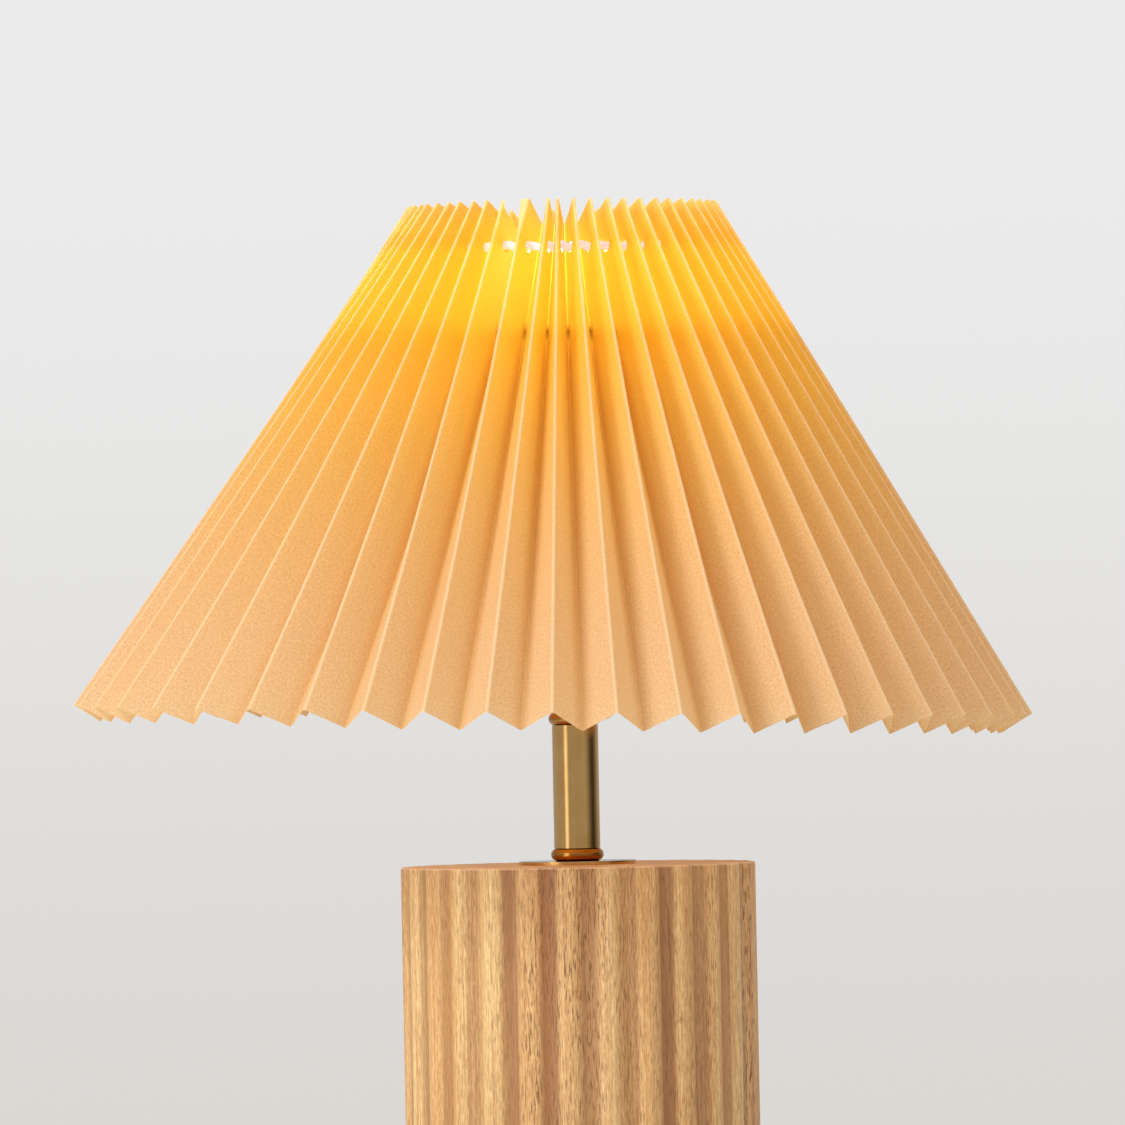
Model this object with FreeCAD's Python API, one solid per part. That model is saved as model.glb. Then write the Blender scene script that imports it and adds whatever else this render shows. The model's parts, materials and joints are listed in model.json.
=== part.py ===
"""Table lamp: a fluted wooden base, a brass stem and a lit, pleated shade that drops over a wire carrier.

Millimetres, +Z up, origin on the table under the middle of the base. The cord inlet faces +Y.
Each function makes one sub-part, and main() writes one STEP for each.
"""

import FreeCAD, Part
import os
from math import asin, cos, pi, radians, sin, sqrt, tan

from FreeCAD import Vector

# --- clearances -------------------------------------------------------------------------------
FIT = 0.05            # round a thread or a spigot, radial
SLIP = 0.2            # round a part that only drops over another, radial
AIR = 0.3             # between parts that move apart
UP = Vector(0, 0, 1)

# --- wooden base ------------------------------------------------------------------------------
PAD_THICKNESS = 2.0
PAD_INSET = 4.2
BASE_RADIUS = 59.2
BASE_HEIGHT = 148.0
FLUTE_COUNT = 27
FLUTE_DEPTH = 2.2
FLUTE_TURN = radians(-93.4)     # where one crest stands, so that the front shows the flutes off centre
EDGE_ROUND = 0.9
CAVITY_RADIUS = 42.0
CAVITY_DEPTH = 38.0
COVER_THICKNESS = 3.0
COVER_LAP = 8.0                 # how far the cover reaches past the cavity
COVER_SCREW_COUNT = 4
COVER_SCREW_RADIUS = 1.75
COVER_SCREW_LENGTH = 14.0
COVER_SCREW_HEAD = 3.5

# --- ballast, rod and their fasteners ---------------------------------------------------------
ROD_RADIUS = 5.0
ROD_WALL = 1.2
ROD_TAIL = 3.0                  # how far the rod stands out of its nut
ROD_HEAD = 1.5                  # how far it stands into the lamp holder
WEIGHT_THICKNESS = 12.0
WEIGHT_GAP = 2.0                # between ballast and cavity wall
WASHER_RADIUS = 10.5
WASHER_THICKNESS = 1.6
NUT_ACROSS_FLATS = 17.0
NUT_HEIGHT = 6.0

# --- brass stem -------------------------------------------------------------------------------
DISC_RADIUS = 19.5
DISC_THICKNESS = 1.2
COLLAR_PROUD = 1.1              # how far the collars' beads stand out past the tube
COLLAR_HEIGHT = 4.2
SPIGOT_LENGTH = 3.0
STEM_RADIUS = 7.7
STEM_WALL = 0.9
STEM_LENGTH = 41.0
NECK_WALL = 1.2
NECK_LENGTH = 11.4

# --- lamp holder ------------------------------------------------------------------------------
HOLDER_PROUD = 1.1              # how far the cap stands out past the skirt
HOLDER_WALL = 1.9
HOLDER_FLOOR = 5.5
HOLDER_DOME = 14.0              # height of the rounded lower part
HOLDER_LEDGE = 16.0             # height of the ledge that the contact block stands on
CAP_RIM = 6.0                   # height of the cap's rim above the ledge
SKIRT_WALL = 3.2
SKIRT_THREAD = 0.5
THREAD_PITCH = 2.5
SKIRT_ABOVE_CAP = 40.0
SHOULDER_WIDTH = 5.6
SHOULDER_THICKNESS = 5.0
SHOULDER_ABOVE_CAP = 22.0       # to the shoulder's upper face
LIP_THICKNESS = 2.0
BLOCK_HEIGHT = 15.0
SHELL_WALL = 0.7
TERMINAL_OFFSET = 9.0
TERMINAL_SCREW_RADIUS = 1.6
TERMINAL_SCREW_HEIGHT = 4.0     # above the block's foot
CONTACT_STRIP = 0.6
CONTACT_ROOM = 1.2              # between the side contact and the skirt
CONTACT_WIDTH = 4.5
CONTACT_RISE = 6.5

# --- inner leads and the block where the mains cord ends ---------------------------------------
LEAD_RADIUS = 1.1
LEAD_SPACING = 1.5              # each lead's distance from the rod's axis
LEAD_CLEAR = 4.0                # lowest run's height above the cover
LEAD_SHARE = 0.45               # share of the shorter run that an arc uses
ENTRY_CLEARANCE = 0.2
ENTRY_DEPTH = 6.0
BLOCK_PLACE = 24.0              # terminal block's distance from the axis
BLOCK_SIZE = (18.0, 14.0, 11.0)
BLOCK_ENTRY = 5.4
BLOCK_SCREW_RADIUS = 1.5
BLOCK_SCREW_GRIP = 6.0

# --- cord inlet -------------------------------------------------------------------------------
INLET_HEIGHT = 14.0
INLET_BORE = 3.3
BUSH_WALL = 1.5
BUSH_FLANGE = 7.0
BUSH_FLANGE_THICKNESS = 1.6
SPOT_FACE_DEPTH = 3.4           # below the flute crests
BUSH_TAIL = 1.0                 # how far the bush stands into the cavity

# --- shade carrier ----------------------------------------------------------------------------
HUB_WIDTH = 8.3
HUB_THICKNESS = 1.5
WIRE_RADIUS = 1.5
RING_RADIUS = 61.0
CARRIER_RISE = 69.0             # from the hub's underside to the ring wire's centre
SPOKE_COUNT = 4
SPOKE_INSET = 2.4               # spoke foot's distance inside the hub's rim
RING_NUT_WIDTH = 4.3
RING_NUT_HEIGHT = 6.0
RING_NUT_GRIPS = 24
GRIP_DEPTH = 0.9
RING_WASHER_WIDTH = 2.8
RING_WASHER_THICKNESS = 0.8

# --- pleated shade ----------------------------------------------------------------------------
PLEAT_COUNT = 50
PANEL_WIDTH = 15.0
PANEL_LENGTH = 202.0
SHADE_TOP_RADIUS = 52.0         # at the outer folds
SHADE_BOTTOM_RADIUS = 159.5     # at the outer folds
SHEET_THICKNESS = 0.5
PLEATS_PER_PIECE = 2            # the sheet is stored as abutting pieces of this many pleats
SHEET_STEPS = 4                 # straight steps that each fold's slight bow is drawn with
FOLD_ROUNDS = 12                # repeats that settle a fold's depth
SEARCH_ROUNDS = 30              # halvings that find the place where a fold passes a radius
STRING_FROM_EDGE = 14.0
STRING_RADIUS = 1.35
KNOT_RADIUS = 3.2
KNOT_INSET = 2.2                # knot's distance inside the inner folds' top ends
KNOT_DEPTH = 5.0
KNOT_ROUND = 0.4                # edge radius as a share of the depth
KNOT_TAIL = 20.0
KNOT_SPREAD = 0.25              # each tail's lean, sideways for each millimetre down
LINK_RADIUS = 0.8               # the string's two ends, drawn tight through the pleat
LINK_LAP = 0.4                  # how far the link is pressed into the string

# --- bulb -------------------------------------------------------------------------------------
BULB_RADIUS = 30.0
BULB_WALL = 1.4
BULB_CAP_RADIUS = 13.2
BULB_CAP_WALL = 0.5
BULB_THREAD_DEPTH = 0.8
BULB_THREAD_PITCH = 3.63
BULB_THREADS = 5
CAP_SHOULDER = 3.0
TIP_RADIUS = 4.8
TIP_HEIGHT = 1.6
TIP_BULGE = (0.7, 0.3)          # a point on the tip's curve, as shares of its radius and height
BULB_BODY_HEIGHT = 51.0         # from the screw cap to the widest point
DOME_SKIRT = 4.0                # the dome's straight part below its widest point
HOUSING_BULGE = (0.62, 0.55)    # a point on the housing's curve, as shares of its spread and height
LED_BOARD_THICKNESS = 1.6
LED_COUNT = 12
LED_SIZE = (2.8, 3.5, 0.7)
LED_CIRCLE = 16.0

# --- sizes and places worked out from the ones above -------------------------------------------
ROD_BORE = ROD_RADIUS - ROD_WALL
NECK_RADIUS = ROD_RADIUS + SLIP + NECK_WALL
COLLAR_RADIUS = STEM_RADIUS + COLLAR_PROUD
BULB_CAP_BORE = BULB_CAP_RADIUS - BULB_THREAD_DEPTH - BULB_CAP_WALL
SHELL_BORE = BULB_CAP_RADIUS + AIR
SHELL_RADIUS = SHELL_BORE + SHELL_WALL
SKIRT_BORE = SHELL_RADIUS + SLIP + CONTACT_STRIP + CONTACT_ROOM
SKIRT_RADIUS = SKIRT_BORE + SKIRT_WALL
THREAD_RADIUS = SKIRT_RADIUS + SKIRT_THREAD
SHOULDER_RADIUS = SKIRT_RADIUS + SHOULDER_WIDTH
HOLDER_RADIUS = SKIRT_RADIUS + HOLDER_PROUD
CARRIER_BORE = THREAD_RADIUS + AIR
HUB_RADIUS = CARRIER_BORE + HUB_WIDTH
RING_NUT_RADIUS = CARRIER_BORE + RING_NUT_WIDTH
RING_WASHER_RADIUS = CARRIER_BORE + RING_WASHER_WIDTH
WOOD_FOOT = PAD_THICKNESS
COVER_TOP = WOOD_FOOT + COVER_THICKNESS
WOOD_TOP = WOOD_FOOT + BASE_HEIGHT
CAVITY_TOP = WOOD_FOOT + CAVITY_DEPTH
WEIGHT_FOOT = CAVITY_TOP - WEIGHT_THICKNESS
NUT_TOP = WEIGHT_FOOT - WASHER_THICKNESS
NUT_FOOT = NUT_TOP - NUT_HEIGHT
ROD_FOOT = NUT_FOOT - ROD_TAIL
COLLAR_FOOT = WOOD_TOP + DISC_THICKNESS
STEM_FOOT = COLLAR_FOOT + COLLAR_HEIGHT
STEM_TOP = STEM_FOOT + STEM_LENGTH
NECK_FOOT = STEM_TOP + COLLAR_HEIGHT
HOLDER_FOOT = NECK_FOOT + NECK_LENGTH
ROD_TOP = HOLDER_FOOT + HOLDER_FLOOR + ROD_HEAD
LEDGE = HOLDER_FOOT + HOLDER_LEDGE
CAP_TOP = LEDGE + CAP_RIM
BLOCK_TOP = LEDGE + BLOCK_HEIGHT
SHOULDER_TOP = CAP_TOP + SHOULDER_ABOVE_CAP
SKIRT_TOP = CAP_TOP + SKIRT_ABOVE_CAP
HUB_FOOT = SHOULDER_TOP + AIR
HUB_TOP = HUB_FOOT + HUB_THICKNESS
RING_NUT_FOOT = HUB_TOP + AIR + RING_WASHER_THICKNESS
RING_HEIGHT = HUB_FOOT + CARRIER_RISE
CONTACT_TOP = BLOCK_TOP + CONTACT_RISE + CONTACT_STRIP
BULB_TIP = CONTACT_TOP + AIR
BULB_CAP_FOOT = BULB_TIP + TIP_HEIGHT + CAP_SHOULDER / 2
BULB_CAP_TOP = BULB_CAP_FOOT + CAP_SHOULDER + (BULB_THREADS + 0.5) * BULB_THREAD_PITCH
BULB_MIDDLE = BULB_CAP_TOP + BULB_BODY_HEIGHT
DOME_FOOT = BULB_MIDDLE - DOME_SKIRT

# --- the pleated sheet's folds, in the shade's own frame with the outer folds' top at height 0 --
SLOPE = asin((SHADE_BOTTOM_RADIUS - SHADE_TOP_RADIUS) / PANEL_LENGTH)
HALF_PLEAT = pi / PLEAT_COUNT


def fold_place(share, inner, skin):
    """Radius and height of a fold at a share of the way down the sheet.

    The panels keep their width, so the inner folds come out as the pleats open. Skin is 1 on the
    sheet's outer face, 0 in its middle and -1 on its inner face.
    """
    radius = SHADE_TOP_RADIUS + share * (SHADE_BOTTOM_RADIUS - SHADE_TOP_RADIUS)
    height = -share * PANEL_LENGTH * cos(SLOPE)
    depth = PANEL_WIDTH
    for _ in range(FOLD_ROUNDS):
        half_pitch = (radius - depth * cos(SLOPE) / 2) * HALF_PLEAT
        depth = sqrt(PANEL_WIDTH ** 2 - half_pitch ** 2)
    half_skin = SHEET_THICKNESS / 2 * PANEL_WIDTH / half_pitch
    back = (depth if inner else 0.0) - skin * half_skin
    return radius - back * cos(SLOPE), height - back * sin(SLOPE)


def share_at(radius, inner, skin):
    """How far down the sheet a fold passes this radius."""
    low, high = 0.0, 1.0
    for _ in range(SEARCH_ROUNDS):
        middle = (low + high) / 2
        if fold_place(middle, inner, skin)[0] < radius:
            low = middle
        else:
            high = middle
    return middle


# The sheet drops until its inner folds are AIR away from the carrier's ring.
TOUCH_RADIUS = RING_RADIUS + (WIRE_RADIUS + AIR) * cos(SLOPE)
TOUCH_HEIGHT = RING_HEIGHT + (WIRE_RADIUS + AIR) * sin(SLOPE)
SHADE_TOP = TOUCH_HEIGHT - fold_place(share_at(TOUCH_RADIUS, True, -1), True, -1)[1]


def string_place():
    """Radius and height of the drawstring, halfway through the panels."""
    share = STRING_FROM_EDGE / PANEL_LENGTH
    (inner, low), (outer, high) = fold_place(share, True, 0), fold_place(share, False, 0)
    return (inner + outer) / 2, (low + high) / 2 + SHADE_TOP


# --- helpers ----------------------------------------------------------------------------------
def polar(radius, angle, height):
    return Vector(radius * cos(angle), radius * sin(angle), height)


def disc(radius, foot, top, x=0.0, y=0.0):
    return Part.makeCylinder(radius, top - foot, Vector(x, y, foot))


def tube(radius, bore, foot, top):
    return disc(radius, foot, top).cut(disc(bore, foot, top))


def lathe(outline):
    """Turns a closed outline of (radius, height) points about Z. A point with four values ends an arc, and
    its first two are a place that the arc passes.
    """
    edges = []
    points = [Vector(p[-2], 0, p[-1]) for p in outline]
    for k, p in enumerate(outline):
        start, end = points[k - 1], points[k]
        if len(p) == 4:
            edges.append(Part.Arc(start, Vector(p[0], 0, p[1]), end).toShape())
        else:
            edges.append(Part.LineSegment(start, end).toShape())
    return Part.Face(Part.Wire(edges)).revolve(Vector(0, 0, 0), UP, 360)


def arc_point(centre, radius, angle):
    """A point on an arc in the lathe's plane, angle in degrees from the outward radius."""
    return centre[0] + radius * cos(radians(angle)), centre[1] + radius * sin(radians(angle))


def hexagon(across_flats, foot, top):
    corner = across_flats / 2 / cos(pi / 6)
    points = [polar(corner, k * pi / 3, foot) for k in range(7)]
    return Part.Face(Part.makePolygon(points)).extrude(Vector(0, 0, top - foot))


def box(size, centre_x, centre_y, foot):
    return Part.makeBox(*size, Vector(centre_x - size[0] / 2, centre_y - size[1] / 2, foot))


def around(shape, count):
    """Copies of a shape turned evenly about Z."""
    copies = []
    for k in range(count):
        turned = shape.copy()
        turned.rotate(Vector(0, 0, 0), UP, 360.0 * k / count)
        copies.append(turned)
    return copies


def bent_rod(points, radius):
    """A round rod along straight runs joined by tangent arcs, each as large as its two runs allow."""
    edges, here = [], points[0]
    for before, corner, after in zip(points, points[1:], points[2:]):
        into, out = (corner - before), (after - corner)
        shorter = min(into.Length, out.Length)
        into.normalize()
        out.normalize()
        turn = into.getAngle(out)
        reach = LEAD_SHARE * shorter
        bend = reach / tan(turn / 2)
        print(f"bend radius {bend:.1f} mm on a rod of {radius} mm radius")
        start, end = corner - into * reach, corner + out * reach
        inward = (out - into).normalize()
        middle = corner + inward * (bend / cos(turn / 2) - bend)
        edges.append(Part.LineSegment(here, start).toShape())
        edges.append(Part.Arc(start, middle, end).toShape())
        here = end
    edges.append(Part.LineSegment(here, points[-1]).toShape())
    path = Part.Wire(edges)
    profile = Part.Wire([Part.makeCircle(radius, points[0], points[1] - points[0])])
    return path.makePipeShell([profile], True, False)


# --- base -------------------------------------------------------------------------------------
def fluted_column():
    """The turned outline: convex crests and concave flutes, each one arc."""
    middle, pitch = BASE_RADIUS - FLUTE_DEPTH / 2, 2 * pi / FLUTE_COUNT
    edges = []
    for k in range(FLUTE_COUNT):
        angle = FLUTE_TURN + k * pitch
        turns = [angle + q * pitch / 4 for q in (-1, 0, 1, 2, 3)]
        rises = (middle, BASE_RADIUS, middle, BASE_RADIUS - FLUTE_DEPTH, middle)
        a, crest, b, flute, c = [polar(r, t, WOOD_FOOT) for r, t in zip(rises, turns)]
        edges += [Part.Arc(a, crest, b).toShape(), Part.Arc(b, flute, c).toShape()]
    column = Part.Face(Part.Wire(edges)).extrude(Vector(0, 0, BASE_HEIGHT))
    top_edges = [e for e in column.Edges if e.BoundBox.ZMin > WOOD_TOP - FIT]
    return column.makeFillet(EDGE_ROUND, top_edges)


def inlet_tool(radius, near, far):
    """A cylinder along the cord inlet, from one distance behind the axis to another."""
    return Part.makeCylinder(radius, far - near, Vector(0, near, INLET_HEIGHT), Vector(0, 1, 0))


def cover_screw_places(foot):
    middle = CAVITY_RADIUS + COVER_LAP / 2
    return [polar(middle, pi / 4 + k * 2 * pi / COVER_SCREW_COUNT, foot) for k in range(COVER_SCREW_COUNT)]


def cover_screw_tools(clearance):
    """Countersunk screws, or with a clearance their holes."""
    tools = []
    for place in cover_screw_places(WOOD_FOOT):
        shank = Part.makeCylinder(COVER_SCREW_RADIUS + clearance, COVER_SCREW_LENGTH + clearance, place)
        wide, narrow = COVER_SCREW_HEAD + clearance, COVER_SCREW_RADIUS + clearance
        head = Part.makeCone(wide, narrow, wide - narrow, place)
        tools.append(shank.fuse(head).removeSplitter())
    return tools


def base_body():
    seat = BASE_RADIUS - SPOT_FACE_DEPTH
    body = fluted_column()
    for tool in (
        disc(ROD_RADIUS + SLIP, CAVITY_TOP, WOOD_TOP),
        disc(CAVITY_RADIUS, COVER_TOP, CAVITY_TOP),
        disc(CAVITY_RADIUS + COVER_LAP, WOOD_FOOT, COVER_TOP),
        inlet_tool(INLET_BORE + BUSH_WALL + FIT, CAVITY_RADIUS - BUSH_FLANGE, BASE_RADIUS),
        inlet_tool(BUSH_FLANGE + SLIP, seat, BASE_RADIUS + BUSH_FLANGE),
        *cover_screw_tools(FIT),
    ):
        body = body.cut(tool)
    return body


def foot_pad():
    return disc(BASE_RADIUS - PAD_INSET, 0, PAD_THICKNESS)


def bottom_cover():
    cover = disc(CAVITY_RADIUS + COVER_LAP - SLIP, WOOD_FOOT, COVER_TOP)
    for tool in cover_screw_tools(FIT):
        cover = cover.cut(tool)
    return cover


def cover_screws():
    return Part.makeCompound(cover_screw_tools(0.0))


def cord_bush():
    """A flanged rubber bush through the back wall. Its bore takes the mains cord."""
    seat = BASE_RADIUS - SPOT_FACE_DEPTH
    tail = sqrt(CAVITY_RADIUS ** 2 - (INLET_BORE + BUSH_WALL) ** 2) - BUSH_TAIL
    face = seat + BUSH_FLANGE_THICKNESS
    body = inlet_tool(INLET_BORE + BUSH_WALL, tail, face).fuse(inlet_tool(BUSH_FLANGE, seat, face))
    return body.removeSplitter().cut(inlet_tool(INLET_BORE, tail, face))


# --- ballast and rod --------------------------------------------------------------------------
def block_screw_tool(clearance):
    """The screw that holds the terminal block to the ballast, or with a clearance its hole."""
    foot = WEIGHT_FOOT - BLOCK_SIZE[2] / 2
    top = WEIGHT_FOOT + BLOCK_SCREW_GRIP + clearance
    return disc(BLOCK_SCREW_RADIUS + clearance, foot, top, 0, BLOCK_PLACE)


def weight_plate():
    plate = tube(CAVITY_RADIUS - WEIGHT_GAP, ROD_RADIUS + SLIP, WEIGHT_FOOT, CAVITY_TOP)
    return plate.cut(block_screw_tool(FIT))


def rod_washer():
    return tube(WASHER_RADIUS, ROD_RADIUS + SLIP, NUT_TOP, WEIGHT_FOOT)


def rod_nut():
    return hexagon(NUT_ACROSS_FLATS, NUT_FOOT, NUT_TOP).cut(disc(ROD_RADIUS + FIT, NUT_FOOT, NUT_TOP))


def threaded_rod():
    return tube(ROD_RADIUS, ROD_BORE, ROD_FOOT, ROD_TOP)


def terminal_block():
    foot = WEIGHT_FOOT - BLOCK_SIZE[2]
    block = box(BLOCK_SIZE, 0, BLOCK_PLACE, foot)
    head = disc(2 * BLOCK_SCREW_RADIUS + SLIP, foot, WEIGHT_FOOT - BLOCK_SIZE[2] / 2, 0, BLOCK_PLACE)
    block = block.cut(block_screw_tool(FIT)).cut(head)
    for side in (-1, 1):
        entry = disc(LEAD_RADIUS + ENTRY_CLEARANCE, foot, foot + ENTRY_DEPTH, side * BLOCK_ENTRY, BLOCK_PLACE)
        block = block.cut(entry)
    return block


def block_screw():
    seat = WEIGHT_FOOT - BLOCK_SIZE[2] / 2
    head = disc(2 * BLOCK_SCREW_RADIUS, seat - BLOCK_SCREW_RADIUS, seat, 0, BLOCK_PLACE)
    return head.fuse(block_screw_tool(0.0)).removeSplitter()


def inner_lead(side):
    """One insulated core: from the terminal block under the rod's end, up through it, to the lamp holder."""
    low = COVER_TOP + LEAD_CLEAR
    spread = TERMINAL_OFFSET - LEAD_SPACING
    turn_out = LEDGE - spread - LEAD_RADIUS
    route = [
        (side * BLOCK_ENTRY, BLOCK_PLACE, WEIGHT_FOOT - BLOCK_SIZE[2] + ENTRY_DEPTH - ENTRY_CLEARANCE),
        (side * BLOCK_ENTRY, BLOCK_PLACE, low),
        (side * LEAD_SPACING, 0, low),
        (side * LEAD_SPACING, 0, turn_out),
        (side * TERMINAL_OFFSET, 0, turn_out + spread),
        (side * TERMINAL_OFFSET, 0, LEDGE + ENTRY_DEPTH),
    ]
    return bent_rod([Vector(*p) for p in route], LEAD_RADIUS)


def lead_live():
    return inner_lead(1)


def lead_neutral():
    return inner_lead(-1)


# --- stem -------------------------------------------------------------------------------------
def top_disc():
    return tube(DISC_RADIUS, ROD_RADIUS + SLIP, WOOD_TOP, COLLAR_FOOT)


def collar(foot, spigot_up):
    """A beaded ring with a spigot that centres the stem tube."""
    bore, half = ROD_RADIUS + SLIP, COLLAR_HEIGHT / 2
    spigot = STEM_RADIUS - STEM_WALL - FIT
    neck = COLLAR_RADIUS - half
    top = foot + COLLAR_HEIGHT
    ring = lathe([
        (bore, foot),
        (neck, foot),
        (COLLAR_RADIUS, foot + half, neck, top),
        (bore, top),
    ])
    if spigot_up:
        return ring.fuse(tube(spigot, bore, top, top + SPIGOT_LENGTH)).removeSplitter()
    return ring.fuse(tube(spigot, bore, foot - SPIGOT_LENGTH, foot)).removeSplitter()


def lower_collar():
    return collar(COLLAR_FOOT, True)


def upper_collar():
    return collar(STEM_TOP, False)


def stem_tube():
    return tube(STEM_RADIUS, STEM_RADIUS - STEM_WALL, STEM_FOOT, STEM_TOP)


def neck_sleeve():
    return tube(NECK_RADIUS, ROD_RADIUS + SLIP, NECK_FOOT, HOLDER_FOOT)


# --- lamp holder ------------------------------------------------------------------------------
def holder_cap():
    """The cup that screws on the rod. Its ledge carries the contact block, and its rim the skirt."""
    bore, floor = ROD_RADIUS + FIT, HOLDER_FOOT + HOLDER_FLOOR
    seat, rim_bore = HOLDER_RADIUS - HOLDER_WALL, SKIRT_BORE - HOLDER_WALL
    shoulder = HOLDER_FOOT + HOLDER_DOME
    foot_radius = NECK_RADIUS + HOLDER_WALL
    spread = HOLDER_RADIUS - foot_radius
    bulge = (foot_radius + spread * sin(pi / 4), shoulder - HOLDER_DOME * cos(pi / 4))
    return lathe([
        (bore, HOLDER_FOOT),
        (foot_radius, HOLDER_FOOT),
        (*bulge, HOLDER_RADIUS, shoulder),
        (HOLDER_RADIUS, CAP_TOP),
        (seat, CAP_TOP),
        (seat, LEDGE),
        (rim_bore, LEDGE),
        (rim_bore, shoulder),
        (bore + HOLDER_FLOOR, floor),
        (bore, floor),
    ])


def skirt_thread():
    """Rings that stand for the skirt's outer thread, above the shoulder."""
    turns = int((SKIRT_TOP - SHOULDER_TOP - LIP_THICKNESS) / THREAD_PITCH)
    outline = [(SKIRT_RADIUS, SHOULDER_TOP)]
    for k in range(turns):
        foot = SHOULDER_TOP + k * THREAD_PITCH
        outline += [(THREAD_RADIUS, foot + THREAD_PITCH / 2), (SKIRT_RADIUS, foot + THREAD_PITCH)]
    return outline


def holder_skirt():
    spigot = HOLDER_RADIUS - HOLDER_WALL - FIT
    lip = SHELL_RADIUS + SLIP
    return lathe([
        (SKIRT_BORE, LEDGE),
        (spigot, LEDGE),
        (spigot, CAP_TOP),
        (SKIRT_RADIUS, CAP_TOP),
        (SKIRT_RADIUS, SHOULDER_TOP - SHOULDER_THICKNESS),
        (SHOULDER_RADIUS, SHOULDER_TOP - SHOULDER_THICKNESS / 2),
        (SHOULDER_RADIUS, SHOULDER_TOP),
        *skirt_thread(),
        (SKIRT_RADIUS, SKIRT_TOP - LIP_THICKNESS / 2),
        (SKIRT_RADIUS - LIP_THICKNESS / 2, SKIRT_TOP),
        (lip, SKIRT_TOP),
        (lip, SKIRT_TOP - LIP_THICKNESS),
        (SKIRT_BORE, SKIRT_TOP - LIP_THICKNESS),
    ])


def terminal_screw_tools(clearance):
    tip = TERMINAL_OFFSET + LEAD_RADIUS + FIT - clearance
    tools = []
    for side in (-1, 1):
        start = Vector(side * tip, 0, LEDGE + TERMINAL_SCREW_HEIGHT)
        length = SKIRT_BORE - SLIP - tip
        tools.append(Part.makeCylinder(TERMINAL_SCREW_RADIUS + clearance, length, start, Vector(side, 0, 0)))
    return tools


def contact_block():
    """The ceramic block under the screw shell, with wire entries below and clamp screws in its sides."""
    block = disc(SKIRT_BORE - SLIP, LEDGE, BLOCK_TOP)
    for side in (-1, 1):
        entry = disc(LEAD_RADIUS + ENTRY_CLEARANCE, LEDGE, LEDGE + ENTRY_DEPTH + FIT, side * TERMINAL_OFFSET)
        block = block.cut(entry)
    for tool in terminal_screw_tools(FIT):
        block = block.cut(tool)
    return block


def terminal_screws():
    bore = disc(SKIRT_BORE - SLIP, LEDGE, BLOCK_TOP)
    return Part.makeCompound([tool.common(bore) for tool in terminal_screw_tools(0.0)])


def screw_shell():
    return tube(SHELL_RADIUS, SHELL_BORE, BLOCK_TOP, SKIRT_TOP - LIP_THICKNESS / 2)


def strip(profile, width):
    """A bent metal strip: a closed outline of (x, z) points, as wide as given along Y."""
    points = [Vector(x, -width / 2, z) for x, z in profile + profile[:1]]
    return Part.Face(Part.makePolygon(points)).extrude(Vector(0, width, 0))


def centre_contact():
    foot, step = BLOCK_TOP, CONTACT_STRIP
    reach = SHELL_BORE - BULB_THREAD_DEPTH - TIP_RADIUS
    peak = CONTACT_TOP
    return strip([
        (-reach - step, foot),
        (-reach / 2, foot),
        (-step, peak - step),
        (TIP_RADIUS / 2, peak - step),
        (TIP_RADIUS / 2, peak),
        (-2 * step, peak),
        (-reach / 2 - step, foot + step),
        (-reach - step, foot + step),
    ], CONTACT_WIDTH)


def side_contact():
    inner, step = SHELL_RADIUS + SLIP, CONTACT_STRIP
    return strip([
        (inner, BLOCK_TOP),
        (inner + step, BLOCK_TOP),
        (inner + step, BLOCK_TOP + CONTACT_RISE),
        (inner, BLOCK_TOP + CONTACT_RISE),
    ], CONTACT_WIDTH)


# --- carrier and its ring nut -----------------------------------------------------------------
def carrier_hub():
    return tube(HUB_RADIUS, CARRIER_BORE, HUB_FOOT, HUB_TOP)


def carrier_ring():
    return Part.makeTorus(RING_RADIUS, WIRE_RADIUS, Vector(0, 0, RING_HEIGHT))


def carrier_spokes():
    """Straight wires from the hub's top face to the ring, trimmed where they are welded to both."""
    foot = Vector(HUB_RADIUS - SPOKE_INSET, 0, HUB_FOOT)
    head = Vector(RING_RADIUS, 0, RING_HEIGHT)
    rod = Part.makeCylinder(WIRE_RADIUS, (head - foot).Length, foot, head - foot)
    below = disc(RING_RADIUS, HUB_FOOT - 2 * WIRE_RADIUS, HUB_TOP)
    trimmer = carrier_ring()
    trimmer.rotate(Vector(0, 0, 0), UP, 180 / SPOKE_COUNT)      # so its seam isn't where the spoke is trimmed
    return Part.makeCompound(around(rod.cut(below).cut(trimmer), SPOKE_COUNT))


def ring_washer():
    return tube(RING_WASHER_RADIUS, CARRIER_BORE, HUB_TOP + AIR, RING_NUT_FOOT)


def shade_ring():
    """The nut that holds the carrier down, with finger grips round its rim."""
    top = RING_NUT_FOOT + RING_NUT_HEIGHT
    ring = tube(RING_NUT_RADIUS, CARRIER_BORE, RING_NUT_FOOT, top)
    grip = disc(2 * GRIP_DEPTH, RING_NUT_FOOT, top, RING_NUT_RADIUS + GRIP_DEPTH)
    for tool in around(grip, RING_NUT_GRIPS):
        ring = ring.cut(tool)
    return ring


# --- pleated shade ----------------------------------------------------------------------------
def fold_point(k, step, skin):
    """A point on fold k, as many steps down; odd folds are inner ones, and fold 0 faces the front."""
    radius, height = fold_place(step / SHEET_STEPS, k % 2 == 1, skin)
    return polar(radius, -pi / 2 + k * HALF_PLEAT, height + SHADE_TOP)


def triangles(a, b, c, d):
    """A four-cornered face as two flat triangles."""
    return [Part.Face(Part.makePolygon(list(t) + [t[0]])) for t in ((a, b, c), (a, c, d))]


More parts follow.
